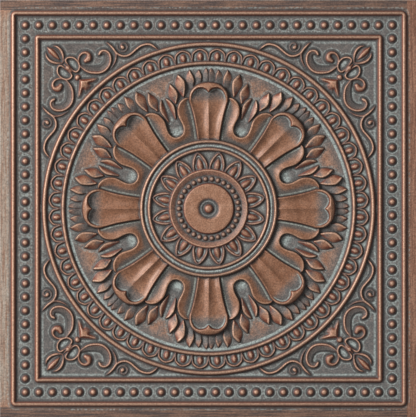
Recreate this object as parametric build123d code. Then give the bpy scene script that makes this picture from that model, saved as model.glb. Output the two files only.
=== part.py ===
from build123d import *
import os
from math import atan, cos, degrees, radians, sin

# Square ceiling tile, pressed from one thin PVC sheet. It lies on its back on a level floor,
# with the decorated face up. Millimetres; the origin is the middle of the back, +Y is the top edge.

# Sheet
tile_side = 603.0
wall = 0.7

# Square beads of the border, from the flat flange inwards
flange_width = 18.8
border_width = 34.6
outer_frame_half_side = tile_side / 2 - flange_width
inner_frame_half_side = outer_frame_half_side - border_width
bead_width = 7.6
bead_top_width = 2.6
bead_crest = 5.4

# Round beads either side of the egg band
ring_inset = 10.7
egg_band_width = 27.1
outer_ring_radius = inner_frame_half_side - ring_inset
inner_ring_radius = outer_ring_radius - egg_band_width
ring_crest = 6.2
egg_count = 56
egg_setback = 11.6
egg_radius = 5.0
egg_crest = 4.6

# Row of pearls between the square beads
pearl_inset = 17.6
pearl_line_half_side = outer_frame_half_side - pearl_inset
pearls_per_side = 28
pearl_radius = 6.6
pearl_crest = 5.6

# Ornament of a corner. Each stroke is a row of points: the distances inwards from the two inner beads
# and the stroke's half width there. The strokes beside the diagonal have a twin across it.
stroke_crest = 4.0
ball_place = (58.9, 58.9)
ball_radius = 4.4
spiral_place = (123.9, 15.2)
spiral_radius = 5.2
bell_crest = 3.8
bell_slope = 0.5
strokes_on_diagonal = [
    [(16.2, 16.2, 1.0), (24.0, 24.0, 3.4), (32.1, 32.1, 1.0)],
    [(39.9, 39.9, 1.2), (45.7, 45.7, 2.8), (50.6, 50.6, 1.2)],
]
strokes_beside_diagonal = [
    [(23.4, 13.0, 1.2), (32.7, 17.5, 2.4), (37.9, 26.9, 2.4), (38.2, 37.0, 1.4)],
    [(62.5, 40.8, 1.5), (60.4, 31.2, 2.1), (64.8, 24.6, 2.4), (72.4, 25.4, 3.2), (71.8, 33.0, 4.2)],
    [(61.0, 41.1, 1.5), (74.0, 50.6, 2.4), (92.8, 51.5, 2.4), (105.0, 40.8, 2.4), (105.6, 25.7, 2.4),
     (96.0, 19.7, 2.4), (90.2, 25.4, 1.8)],
    [(103.5, 10.1, 1.2), (115.4, 23.4, 2.4), (129.0, 27.8, 2.4), (142.6, 18.8, 2.4), (156.7, 11.0, 2.4),
     (168.0, 13.6, 1.4)],
]
bow = [(43.2, 37.9, 1.9), (42.2, 31.8, 2.0), (51.5, 29.8, 2.0), (60.2, 37.0, 2.0), (60.7, 47.1, 2.0),
       (53.6, 49.5, 1.8)]
bell_half = [(60.7, 60.7), (74.9, 61.0), (85.9, 59.4), (76.1, 65.6), (77.9, 71.7), (75.5, 75.5)]

# Petals of the rosette: fluted, with a heart-shaped hollow behind a raised lip
petal_count = 8
rosette_inset = 6.3
rosette_radius = inner_ring_radius - rosette_inset
petal_root_radius = 101.0
petal_root_half_width = 15.0
petal_waist_radius = 133.0
petal_waist_half_width = 21.3
petal_shoulder_radius = 158.0
petal_shoulder_half_width = 27.6
petal_tip_radius = 181.5
petal_edge_roll = 0.6
petal_rim_share = 0.84
petal_flute_share = 0.42
petal_side_spread = 1.2
petal_root_rim = 6.6
petal_waist_rim = 8.0
petal_shoulder_rim = 9.8
petal_lip_crest = 11.8
petal_flute_depth = 2.4

# Cup of a petal from its shoulder to its lip: share of the way, rim level, depth of the heart, keel level
petal_cup = [
    (0.0, petal_shoulder_rim, 3.2, petal_shoulder_rim - 0.6),
    (0.35, petal_lip_crest - 0.7, 5.4, petal_lip_crest - 1.8),
    (0.7, petal_lip_crest, 1.4, petal_lip_crest - 0.2),
    (0.88, petal_lip_crest - 0.4, 0.1, petal_lip_crest - 0.3),
    (0.98, petal_lip_crest - 2.0, 0.1, petal_lip_crest - 2.0),
]

# Leaves on one side of a petal, from its tip to the eye: foot, tip and half width
leaf_crest = 5.8
leaf_low_level = 1.6
leaf_widest_share = 0.45
leaves = [
    ((4.5, 184.4), (4.0, 202.2), 3.4),
    ((15.0, 183.0), (14.5, 199.8), 4.2),
    ((25.4, 177.1), (27.8, 199.4), 5.6),
    ((36.7, 161.7), (44.8, 192.6), 7.1),
    ((48.6, 153.6), (56.2, 179.3), 6.7),
    ((48.0, 129.9), (61.9, 158.2), 3.9),
]

# Sepals between the petals, joined below a drop-shaped eye
sepal_crest = 7.4
sepal_crease_level = 2.4
sepal_ridge_half_width = 14.0
sepal_root_radius = 103.5
sepal_root_half_width = 19.0
sepal_shoulder_radius = 159.0
sepal_shoulder_half_width = 34.0
sepal_lobe_radius = 160.5
sepal_lobe_half_width = 23.0
sepal_waist_radius = 147.0
sepal_waist_half_width = 12.8
eye_radius = 9.6
eye_centre_radius = 122.5

# Medallion: a dished bed inside two beads, sixteen small petals and a round boss
small_petal_count = 16
small_petal_root_radius = 58.0
small_petal_wide_radius = 67.0
small_petal_tip_radius = 80.5
small_petal_half_width = 9.0
small_petal_crest = 6.8
small_petal_slope = 0.7
small_petal_root_half_width = 6.0
bed_level = 3.4
medallion_bead_radius = 96.7
medallion_inner_bead_radius = 86.0
medallion_bead_half_width = 4.4
medallion_bead_top_half_width = 1.4
medallion_bead_crest = 8.8
medallion_groove_level = 5.6
boss_rim_radius = 53.8
boss_rim_half_width = 4.2
boss_rim_top_half_width = 1.6
boss_rim_crest = 9.0
boss_channel_outer_radius = 47.6
boss_channel_inner_radius = 38.6
boss_channel_level = 5.0
boss_face_radius = 35.4
boss_face_level = 7.4
dimple_radius = 14.0
dimple_floor_radius = 10.8
dimple_floor_level = 5.4
button_radius = 8.4
button_top_radius = 4.6
button_crest = 7.9

below_sheet = -3 * wall
slice_height = 8 * petal_lip_crest
cone_facets = 6
cone_turns = [radians(360 * facet / cone_facets) for facet in range(cone_facets)]


def foot_of(drop):
    """Where a form starts: inside the sheet for the front, below the sheet for its hollow"""
    return below_sheet if drop else wall / 2


def around(form, count, first_angle=0.0):
    """Copies of a form made on the +Y axis, turned about the middle of the tile"""
    return [Rot(0, 0, -first_angle - 360 * turn / count) * form for turn in range(count)]


def tapered(face, low, high, slope):
    """A straight-sided face extruded from one level to another, drawing in by slope for each mm"""
    return extrude(Pos(0, 0, low) * face, amount=high - low, taper=degrees(atan(slope)))


def square_bead(line, drop):
    """A bead with sloping sides that follows a square"""
    foot = foot_of(drop)
    top = bead_crest - drop
    half_width = bead_width / 2 - drop
    half_top = (bead_top_width - drop) / 2
    slope = (half_width - half_top) / (bead_crest - wall)
    half_foot = half_width + slope * (wall - drop - foot)
    outer_side = 2 * (line + half_foot)
    inner_side = 2 * (line - half_foot)
    block = tapered(Rectangle(outer_side, outer_side), foot, top, slope)
    well = tapered(Rectangle(inner_side, inner_side), foot, top, -slope)
    return block - well


def turned(points, drop):
    """A form turned about Z from its upper profile, lowered by the wall for its hollow"""
    foot = foot_of(drop)
    upper = [(radius, level - drop) for radius, level in points]
    corners = [(points[0][0], foot), *upper, (points[-1][0], foot)]
    return revolve(make_face(Plane.XZ * Polyline(*corners, close=True)), Axis.Z)


def ring_bead(line, drop):
    """A round bead, flat on top, or the pointed hollow under it"""
    half_width = bead_width / 2 - drop
    half_top = bead_top_width / 2
    top = [(line, ring_crest)] if drop else [(line - half_top, ring_crest), (line + half_top, ring_crest)]
    return turned([(line - half_width, wall), *top, (line + half_width, wall)], drop)


def medallion(drop):
    """Bed, two beads and the round boss, as one turned form. The hollow follows the larger steps only."""
    bead_low = medallion_bead_half_width
    bead_top = medallion_bead_top_half_width
    groove = (medallion_bead_radius + medallion_inner_bead_radius) / 2
    boss_foot = (boss_rim_radius + boss_rim_half_width, bed_level)
    bed_edge = (medallion_inner_bead_radius - bead_low, bed_level)
    outer_foot = (medallion_bead_radius + bead_low - drop, wall)
    if drop:
        profile = [
            (0, dimple_floor_level),
            (boss_face_radius, dimple_floor_level),
            (boss_channel_inner_radius, boss_channel_level),
            (boss_channel_outer_radius, boss_channel_level),
            (boss_rim_radius, boss_rim_crest),
            boss_foot,
            bed_edge,
            (medallion_inner_bead_radius, medallion_bead_crest),
            (groove, medallion_groove_level),
            (medallion_bead_radius, medallion_bead_crest),
            outer_foot,
        ]
        return turned(profile, drop)
    profile = [
        (0, button_crest),
        (button_top_radius, button_crest),
        (button_radius, dimple_floor_level),
        (dimple_floor_radius, dimple_floor_level),
        (dimple_radius, boss_face_level),
        (boss_face_radius, boss_face_level),
        (boss_channel_inner_radius, boss_channel_level),
        (boss_channel_outer_radius, boss_channel_level),
        (boss_rim_radius - boss_rim_top_half_width, boss_rim_crest),
        (boss_rim_radius + boss_rim_top_half_width, boss_rim_crest),
        boss_foot,
        bed_edge,
        (medallion_inner_bead_radius - bead_top, medallion_bead_crest),
        (medallion_inner_bead_radius + bead_top, medallion_bead_crest),
        (groove, medallion_groove_level),
        (medallion_bead_radius - bead_top, medallion_bead_crest),
        (medallion_bead_radius + bead_top, medallion_bead_crest),
        outer_foot,
    ]
    return turned(profile, drop)


def cone(radius, crest):
    """A small pointed dome of a few facets, for a pearl, an egg or a ball"""
    rim = [(radius * cos(turn), radius * sin(turn), foot_of(0)) for turn in cone_turns]
    return ConvexPolyhedron([*rim, (0, 0, crest)])


def border_pearls():
    """The pearls of one quarter: one at the corner and a row along both sides from it"""
    pitch = 2 * pearl_line_half_side / (pearls_per_side - 1)
    form = cone(pearl_radius, pearl_crest)
    line = pearl_line_half_side
    pearls = [Pos(line, line, 0) * form]
    for step in range(1, pearls_per_side // 2):
        pearls.append(Pos(line - step * pitch, line, 0) * form)
        pearls.append(Pos(line, line - step * pitch, 0) * form)
    return pearls


def eggs():
    """The eggs of one quarter, clear of its two edges"""
    line = outer_ring_radius - egg_setback
    pitch = 360 / egg_count
    form = Pos(0, line, 0) * cone(egg_radius, egg_crest)
    return [Rot(0, 0, -pitch * (step + 0.5)) * form for step in range(egg_count // 4)]


def stroke(points, closed=False):
    """A ridge with a sharp crest along a row of points, each with its half width"""
    foot = foot_of(0)
    count = len(points)
    sections = []
    for number, (x, y, half_width) in enumerate(points):
        before = points[(number - 1) % count] if closed or number else points[0]
        after = points[(number + 1) % count] if closed or number < count - 1 else points[-1]
        along = Vector(after[0] - before[0], after[1] - before[1], 0).normalized()
        aside = along.cross(Vector(0, 0, 1)) * half_width
        middle = Vector(x, y, foot)
        sections.append([middle + aside, middle - aside, Vector(x, y, stroke_crest)])
    pairs = list(zip(sections, sections[1:]))
    if closed:
        pairs.append((sections[-1], sections[0]))
    spans = [ConvexPolyhedron([tuple(corner) for corner in near + far]) for near, far in pairs]
    return spans[0] + spans[1:]


def bell():
    """The bell flower on the corner's diagonal, in distances inwards from the inner beads"""
    other_half = [(y, x) for x, y in reversed(bell_half)]
    outline = make_face(Polyline(*bell_half, *other_half[1:-1], close=True))
    return tapered(outline, foot_of(0), bell_crest, bell_slope)


def corner_ornament():
    """Bud, bow, volutes, scrolls, tendrils, balls and bell of the +X +Y corner"""
    across_diagonal = Plane((0, 0, 0), x_dir=(1, 1, 0), z_dir=(1, -1, 0))
    pairs = [stroke(points) for points in strokes_beside_diagonal]
    pairs.append(stroke(bow, closed=True))
    pairs.append(Pos(*spiral_place, 0) * cone(spiral_radius, stroke_crest))
    twins = [mirror(form, across_diagonal) for form in pairs]
    middle = [stroke(points) for points in strokes_on_diagonal]
    middle += [Pos(*ball_place, 0) * cone(ball_radius, stroke_crest), bell()]
    turn = Pos(inner_frame_half_side, inner_frame_half_side, 0) * Rot(0, 0, 180)
    return [turn * form for form in pairs + twins + middle]


def across(radius):
    """Upright plane across the +Y axis, with its own Y pointing up"""
    return Plane((0, radius, 0), x_dir=(1, 0, 0), z_dir=(0, -1, 0))


def petal_profile(radius, half_width, rim, depth, keel, drop):
    """Top and foot points across a petal: raised edges, a flute each side and a keel in the middle"""
    foot = foot_of(drop)
    half = half_width - drop
    across_petal = [
        (-half, rim - petal_edge_roll),
        (-petal_rim_share * half, rim),
        (-petal_flute_share * half, rim - depth),
        (0, keel),
        (petal_flute_share * half, rim - depth),
        (petal_rim_share * half, rim),
        (half, rim - petal_edge_roll),
    ]
    tops = [(x, radius, level - drop) for x, level in across_petal]
    spread = (half + petal_side_spread) / half
    feet = [(x * spread, radius, foot) for x, level in across_petal]
    return list(zip(tops, feet))


def petal(drop):
    """One petal on the +Y axis: flat facets between sections from its root to its lip"""
    stations = [
        (petal_root_radius, petal_root_half_width, petal_root_rim, petal_flute_depth, petal_root_rim),
        (petal_waist_radius, petal_waist_half_width, petal_waist_rim, petal_flute_depth, petal_waist_rim),
    ]
    cup_length = petal_tip_radius - drop - petal_shoulder_radius
    for share, rim, depth, keel in petal_cup:
        half_width = petal_shoulder_half_width * (1 - share**2) ** 0.5
        stations.append((petal_shoulder_radius + share * cup_length, half_width, rim, depth, keel))
    profiles = [petal_profile(*station, drop) for station in stations]
    facets = []
    for near, far in zip(profiles, profiles[1:]):
        for column in range(len(near) - 1):
            corners = [*near[column], *near[column + 1], *far[column], *far[column + 1]]
            facets.append(ConvexPolyhedron(corners))
    return facets[0] + facets[1:]


def leaf(foot_place, tip_place, half_width):
    """A leaf blade that stands up along its edge towards the petal's axis and falls off to the other"""
    foot = foot_of(0)
    start = Vector(*foot_place)
    along = Vector(*tip_place) - start
    aside = Vector(along.Y, -along.X).normalized() * half_width
    widest = start + along * leaf_widest_share
    middle_level = (leaf_crest + leaf_low_level) / 2
    tops = [(start, leaf_low_level), (widest - aside, leaf_crest), (start + along, middle_level),
            (widest + aside, leaf_low_level)]
    corners = [(place.X, place.Y, level) for place, high in tops for level in (high, foot)]
    return ConvexPolyhedron(corners)


def mirrored_face(right):
    """Face between a line on the +X side, its mirror image and the two short ends"""
    left = mirror(right, Plane.YZ)
    edges = [*right.edges(), *left.edges()]
    for right_end, left_end in ((right @ 0, left @ 0), (right @ 1, left @ 1)):
        if (right_end - left_end).length > 1e-4:
            edges.append(Line(right_end, left_end))
    return make_face(edges)


def small_petal():
    """A small pointed petal of the medallion, on the +Y axis"""
    outline = Polyline(
        (small_petal_root_half_width, small_petal_root_radius),
        (small_petal_half_width, small_petal_wide_radius),
        (0, small_petal_tip_radius),
        (-small_petal_half_width, small_petal_wide_radius),
        (-small_petal_root_half_width, small_petal_root_radius),
        close=True,
    )
    return tapered(make_face(outline), bed_level - wall / 2, small_petal_crest, small_petal_slope)


def sepal_outline(inset):
    """Plan of a pair of sepals, joined below the eye, on the +Y axis"""
    eye = eye_radius + inset
    slant = eye * cos(radians(45))
    right = Polyline(
        (sepal_root_half_width - inset, sepal_root_radius),
        (sepal_shoulder_half_width - inset, sepal_shoulder_radius - inset),
        (sepal_lobe_half_width, sepal_lobe_radius - inset),
        (sepal_waist_half_width + inset, sepal_waist_radius),
        (eye, eye_centre_radius),
        (slant, eye_centre_radius - slant),
        (0, eye_centre_radius - eye),
    )
    return mirrored_face(right)


def sepals(drop):
    """A pair of sepals: a roof highest beside the eye and lowest beside the petals, trimmed to its plan"""
    foot = foot_of(drop)
    eaves = sepal_shoulder_half_width
    roof = Polyline(
        (-eaves, foot),
        (-eaves, sepal_crease_level - drop),
        (-sepal_ridge_half_width, sepal_crest - drop),
        (sepal_ridge_half_width, sepal_crest - drop),
        (eaves, sepal_crease_level - drop),
        (eaves, foot),
        close=True,
    )
    block = extrude(across(sepal_root_radius) * make_face(roof), amount=-sepal_shoulder_radius)
    return block & extrude(Pos(0, 0, below_sheet) * sepal_outline(drop), amount=2 * sepal_crest)


def wedge_of(radius, count):
    """A slice of a disc, one of count, about the +Y axis"""
    half_angle = 180 / count
    reach = 2 * radius
    corner = (reach * sin(radians(half_angle)), reach * cos(radians(half_angle)))
    slice_face = make_face(Polyline((0, 0), corner, (-corner[0], corner[1]), close=True))
    return extrude(Pos(0, 0, 2 * below_sheet) * (slice_face & Circle(radius)), amount=slice_height)


def rosette_forms(drop):
    """The forms of one eighth of the rosette that the back follows"""
    pair = sepals(drop)
    half_step = 180 / petal_count
    return [medallion(drop), petal(drop), Rot(0, 0, half_step) * pair, Rot(0, 0, -half_step) * pair]


def rosette_details():
    """The smaller forms of one eighth of the rosette, solid behind"""
    right_leaves = [leaf(*place) for place in leaves]
    left_leaves = [mirror(blade, Plane.YZ) for blade in right_leaves]
    small_step = 180 / small_petal_count
    small = small_petal()
    return right_leaves + left_leaves + [Rot(0, 0, small_step) * small, Rot(0, 0, -small_step) * small]


def rosette():
    """Everything inside the round beads: eight equal slices"""
    slice_block = wedge_of(rosette_radius, petal_count)
    field = extrude(Circle(rosette_radius), amount=wall) & slice_block
    fronts = [form & slice_block for form in rosette_forms(0)]
    hollows = [form & slice_block for form in rosette_forms(wall)]
    details = [form & slice_block for form in rosette_details()]
    return around(((field + fronts) - hollows) + details, petal_count)


def bead_forms(drop):
    """Square and round beads"""
    return [
        square_bead(outer_frame_half_side, drop),
        square_bead(inner_frame_half_side, drop),
        ring_bead(outer_ring_radius, drop),
        ring_bead(inner_ring_radius, drop),
    ]


def border():
    """Flange, beads, pearls, eggs and corner ornament around the rosette: four equal quarters"""
    half_side = tile_side / 2
    quarter = Pos(half_side / 2, half_side / 2, 0) * Box(half_side, half_side, slice_height)
    field = extrude(Rectangle(tile_side, tile_side) - Circle(rosette_radius), amount=wall)
    beaded = ((field + bead_forms(0)) - bead_forms(wall)) & quarter
    return around(beaded + [*border_pearls(), *eggs(), *corner_ornament()], 4)


slices = border() + rosette()
moulded_sheet = slices[0] + slices[1:]
print("volume", moulded_sheet.volume, "valid", moulded_sheet.is_valid, "faces", len(moulded_sheet.faces()))
os.makedirs("parts", exist_ok=True)
export_step(moulded_sheet, "parts/moulded_sheet.step")
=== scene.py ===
import bpy
import mathutils
import numpy as np
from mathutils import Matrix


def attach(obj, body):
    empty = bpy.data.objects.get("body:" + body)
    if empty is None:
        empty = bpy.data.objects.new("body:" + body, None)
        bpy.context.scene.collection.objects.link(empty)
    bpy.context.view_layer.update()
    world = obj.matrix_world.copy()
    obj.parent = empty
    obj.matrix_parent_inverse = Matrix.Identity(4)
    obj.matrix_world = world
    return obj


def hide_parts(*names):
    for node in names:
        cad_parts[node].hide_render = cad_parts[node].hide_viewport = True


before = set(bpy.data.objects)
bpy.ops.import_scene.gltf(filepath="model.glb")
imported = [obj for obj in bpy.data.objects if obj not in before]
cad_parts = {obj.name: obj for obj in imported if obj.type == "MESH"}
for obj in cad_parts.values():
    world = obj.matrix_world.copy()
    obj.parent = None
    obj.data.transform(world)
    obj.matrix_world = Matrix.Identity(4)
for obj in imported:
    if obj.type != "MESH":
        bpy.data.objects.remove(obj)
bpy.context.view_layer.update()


# Real sizes in millimetres, and the drawing step in which the ornament is measured
tile_side = 603.0
steps_per_side = 417.0
step = tile_side / steps_per_side
wall = 0.7

# Height above the floor of the main forms, in millimetres
square_bead_crest = 5.4
ring_bead_crest = 6.2
pearl_crest = 5.0
egg_crest = 4.6
arch_crest = 3.6
petal_foot = 3.8
sepal_crest = 8.2
sepal_crease = 2.2
leaf_low = 1.0
scroll_crest = 4.2
medallion_bed = 3.4
boss_trough = 4.4
boss_bead_rise = 3.6

# How far the main lines are from the tile's middle, in drawing steps
flange_line = 198.0
corner_origin = 196.0
outer_square_bead = 195.2
pearl_row = 183.3
inner_square_bead = 171.2
outer_ring = 164.2
egg_row = 152.0
inner_ring = 145.4
leaf_tip_ring = 141.0
tuft_ring = 129.0
petal_start = 69.0
medallion_edge = 67.0
medallion_ring = 66.9
medallion_groove = 62.9
collar_ring = 59.5
medallion_floor_edge = 58.5
boss_edge = 40.4
boss_bead_row = 29.7
boss_trough_middle = 29.2

# Sizes of small round forms in drawing steps, and how many of each there are
pearl_radius = 4.4
pearl_gaps_per_side = 27
boss_bead_radius = 2.6
boss_bead_count = 30
square_bead_half_width = 2.9
egg_count = 56
petal_count = 8
medallion_petal_count = 16

# Finish: polish of the worn field and of the flange, and painted shade on beads that run from left to
# right, along the light from the left
field_polish = 0.12
flange_polish = 0.75
level_bead_painted_shade = 0.32


def smooth(low, high, value):
    """0 up to low, 1 from high on and a smooth rise between them. Where low is the larger, it falls."""
    share = np.clip((value - low) / (high - low), 0.0, 1.0)
    return share * share * (3.0 - 2.0 * share)


def band(start, full, ebb, end, value):
    """1 between full and ebb, 0 outside start and end, with a smooth rise and fall between them."""
    return smooth(start, full, value) * smooth(end, ebb, value)


def between(first, second, share):
    """The value that lies a share of the way from the first to the second."""
    return first + (second - first) * share


def spline(points, closed=False, runs=8):
    """Points of a smooth line through the given ones. A third column, such as a width, runs along."""
    knots = np.array(points, float)
    if closed:
        knots = np.vstack([knots[-1:], knots, knots[:2]])
    else:
        knots = np.vstack([2 * knots[0] - knots[1], knots, 2 * knots[-1] - knots[-2]])
    shares = np.linspace(0.0, 1.0, runs, endpoint=False)[:, None]
    line = []
    for before, start, end, after in zip(knots, knots[1:], knots[2:], knots[3:]):
        line.append(0.5 * (2 * start + (end - before) * shares
                           + (2 * before - 5 * start + 4 * end - after) * shares ** 2
                           + (3 * start - before - 3 * end + after) * shares ** 3))
    return np.vstack(line + [knots[-2:-1]])


def nearest(x, y, line):
    """Distance to a line, its last column there, the side on which the point lies and how far along."""
    start = line[:-1]
    run = line[1:] - start
    length = np.maximum((run[:, :2] ** 2).sum(axis=1), 1e-9)
    across = x[:, None] - start[:, 0]
    along = y[:, None] - start[:, 1]
    share = np.clip((across * run[:, 0] + along * run[:, 1]) / length, 0.0, 1.0)
    gap = (across - share * run[:, 0]) ** 2 + (along - share * run[:, 1]) ** 2
    best = gap.argmin(axis=1)
    rows = np.arange(len(x))
    share = share[rows, best]
    side = np.sign(run[best, 0] * along[rows, best] - run[best, 1] * across[rows, best])
    place = (best + share) / len(run)
    last_column = start[best, -1] + share * run[best, -1]
    return np.sqrt(gap[rows, best]), last_column, side, place


def distance(x, y, line):
    """Distance to a line."""
    return nearest(x, y, line)[0]


def arch_of(half):
    """The points of an arch, with their half widths, from those of its left half and its top."""
    return half + [(-x, y, width) for x, y, width in half[-2::-1]]


def loop_of(line):
    """A line with its first point added at its end."""
    return np.vstack([line, line[:1]])


def mirrored(line):
    """The closed outline of which a line is the right half."""
    return np.vstack([line, line[::-1] * (-1, 1)])


def inside(x, y, outline):
    """True for the points inside a closed outline."""
    result = np.zeros(x.shape, bool)
    for (x1, y1), (x2, y2) in zip(outline[:-1, :2], outline[1:, :2]):
        if y1 == y2:
            continue
        crosses = (y1 > y) != (y2 > y)
        result ^= crosses & (x < (x2 - x1) * (y - y1) / (y2 - y1) + x1)
    return result


def depth_inside(x, y, outline, edge):
    """Distance to the edge of an outline, below 0 for the points outside it."""
    gap = distance(x, y, edge)
    return np.where(inside(x, y, outline), gap, -gap)


class Relief:
    """Height and finish of points of the pattern, whose places are in drawing steps.

    The height is in millimetres. The finish runs from 0 to 1: polish is copper rubbed bright, stain is
    dark dirt together with painted shade on beads that run from left to right, bloom is pale verdigris,
    and petals marks the duller speckle of petals and sepals.
    """

    def __init__(self, x, y, height, polish, stain_and_painted_shade, bloom, petals):
        self.x = x
        self.y = y
        self.height = height
        self.polish = polish
        self.stain_and_painted_shade = stain_and_painted_shade
        self.bloom = bloom
        self.petals = petals

    def press(self, spot, x, y, *forms):
        """Lets forms change the points of one spot, placed in a drawing frame of the spot's own."""
        names = ("height", "polish", "stain_and_painted_shade", "bloom", "petals")
        part = Relief(x[spot], y[spot], *(getattr(self, name)[spot] for name in names))
        for add_form in forms:
            add_form(part)
        for name in names:
            getattr(self, name)[spot] = getattr(part, name)

    def lift(self, level, spot=slice(None)):
        """Raises points that are lower than a level."""
        self.height[spot] = np.maximum(self.height[spot], level)

    def rub(self, level, spot=slice(None)):
        """Makes points at least this bright."""
        self.polish[spot] = np.maximum(self.polish[spot], level)

    def darken(self, level, spot=slice(None)):
        """Makes points at least this dark: dirt, and on beads that run from left to right painted shade.
        """
        self.stain_and_painted_shade[spot] = np.maximum(self.stain_and_painted_shade[spot], level)

    def whiten(self, level, spot=slice(None)):
        """Gives points at least this much verdigris."""
        self.bloom[spot] = np.maximum(self.bloom[spot], level)

    def window(self, line, margin):
        """Numbers and places of the points in the upright box round a line."""
        low = line[:, :2].min(axis=0) - margin
        high = line[:, :2].max(axis=0) + margin
        within = (self.x > low[0]) & (self.x < high[0]) & (self.y > low[1]) & (self.y < high[1])
        near = np.flatnonzero(within)
        return near, self.x[near], self.y[near]

    def ridge(self, points, crest, closed=False, polish=0.0, roundness=0.8, outline=0.0):
        """A round ridge along a line whose third column is its half width.

        Where an outline is asked for and the ground isn't polished, a dark line runs along the foot of
        the ridge and a pale line outside that.
        """
        line = spline(points, closed)
        widest = line[:, 2].max()
        near, x, y = self.window(line, widest + 3.6)
        gap, width = nearest(x, y, line)[:2]
        edge = gap - width
        bare = outline * (self.polish[near] < 0.16)
        self.darken(bare * band(-0.9, -0.3, 1.4, 2.3, edge), near)
        self.whiten(0.55 * bare * band(1.9, 2.5, 2.9, 3.6, edge), near)
        share = np.clip(gap / width, 0.0, 1.0)
        section = (1.0 - share ** 2) ** roundness
        level = np.minimum(self.height[near], crest)
        top = level + (crest * width / widest * 0.6 + crest * 0.4 - level) * section
        raised = (share < 1.0) & (top > self.height[near])
        self.height[near[raised]] = top[raised]
        self.rub(polish * section[raised], near[raised])
        self.stain_and_painted_shade[near[raised]] *= 1.0 - smooth(0.45, 0.85, section[raised])
        self.bloom[near[raised]] *= 1.0 - smooth(0.0, 0.4, section[raised])

    def dome(self, x, y, radius, crest, polish=0.0, roundness=0.7):
        """A round knob that rises from the ground to its crest."""
        gap = np.hypot(self.x - x, self.y - y)
        near = np.flatnonzero(gap < radius)
        section = (1.0 - (gap[near] / radius) ** 2) ** roundness
        self.lift(between(self.height[near], crest, section), near)
        self.rub(polish * section, near)

    def bead(self, gap, half_width, floor, crest, roundness, polish, painted_shade_share):
        """A bead along the line from which the gap is measured, with painted shade as far as the given
        share asks.
        """
        share = np.clip(np.abs(gap) / half_width, 0.0, 1.0)
        on_bead = np.flatnonzero(share < 1.0)
        section = 1.0 - share[on_bead] ** 2
        self.lift(between(floor, crest, section ** roundness), on_bead)
        self.rub(polish * section, on_bead)
        # Painted shade, as much as the given share asks for
        self.darken(level_bead_painted_shade * painted_shade_share[on_bead], on_bead)


def petal_forms(part):
    """Half of the fluted petal on the sector's own axis, with its lip and its heart-shaped hollow."""
    side = spline([(0, 60), (10.3, 64), (11.0, 70), (12.5, 80), (14.8, 92), (17.8, 103), (19.4, 108),
                   (18.9, 114), (16.6, 119), (12.4, 123), (6.8, 125.4), (0, 126.2)])
    heart = spline([(0, 60), (9.2, 64), (10.0, 70), (11.5, 80), (13.8, 92), (16.8, 103), (17.9, 108),
                    (17.2, 113.5), (14.8, 118), (11.2, 120.6), (7.6, 121.2), (4.0, 120.4),
                    (1.4, 118.8), (0, 117)])
    near, x, y = part.window(mirrored(side), 4.0)
    depth = depth_inside(x, y, mirrored(side), side)
    heart_depth = depth_inside(x, y, mirrored(heart), heart)

    # Level of the lip round the edge and of the fluted floor of the heart
    rim = petal_foot + 4.0 * smooth(62, 80, y) - 1.8 * smooth(82, 102, y) + 5.4 * smooth(101, 119, y)
    lip = rim - 3.4 * (1.0 - smooth(0.0, 4.2, depth)) * smooth(100, 118, y)
    half_width = np.interp(y, [64, 80, 92, 103, 112, 126], [9.2, 11.5, 13.8, 16.8, 18.0, 18.0])
    share = np.clip(x / half_width, 0.0, 1.0)
    body = petal_foot + 4.4 * smooth(62, 80, y) - 3.0 * smooth(80, 110, y)
    flute = np.interp(y, [66, 74, 90, 106, 116], [1.8, 3.8, 4.4, 2.4, 1.6])
    floor = body - flute * 4.0 * share * (1.0 - share) - 0.5 * (1.0 - share)
    top = between(lip, floor, smooth(-0.2, 1.1, heart_depth))
    part.height[near] = between(part.height[near], top, smooth(-0.9, 0.5, depth))

    # Finish: bright along the flutes, worn at the foot and dull under the lip
    finish = np.where(heart_depth > 0.4, 1.0 - 0.9 * smooth(102, 114, y), 1.0)
    finish *= 1.0 - 0.8 * (1.0 - smooth(65, 76, y))
    cover = smooth(-0.3, 0.6, depth)
    lit = np.where(heart_depth > 0.2, 0.75 * smooth(103, 113, y), 0.7 * smooth(112, 120, y))
    part.polish[near] = between(part.polish[near], finish, cover)
    part.petals[near] = between(part.petals[near], 1.0 - lit, cover)
    part.stain_and_painted_shade[near] *= 1.0 - cover
    part.bloom[near] *= 1.0 - cover
    behind_lip = band(-3.4, -1.2, -0.2, 1.2, depth) * smooth(108, 120, y)
    contour = band(-1.5, -0.9, -0.2, 0.3, depth) * band(66, 70, 112, 119, y)
    part.darken(0.8 * behind_lip, near)
    part.darken(contour, near)
    crease = band(-3.2, -2.4, -1.6, -1.0, depth) * smooth(112, 104, y)
    under_lip = band(0.7, 1.3, 1.8, 2.8, heart_depth) * smooth(102, 112, y)
    beside_rim = band(0.3, 0.8, 1.2, 2.0, heart_depth) * smooth(110, 100, y)
    part.whiten(crease, near)
    part.whiten(0.8 * under_lip, near)
    part.whiten(0.1 * beside_rim, near)


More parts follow.
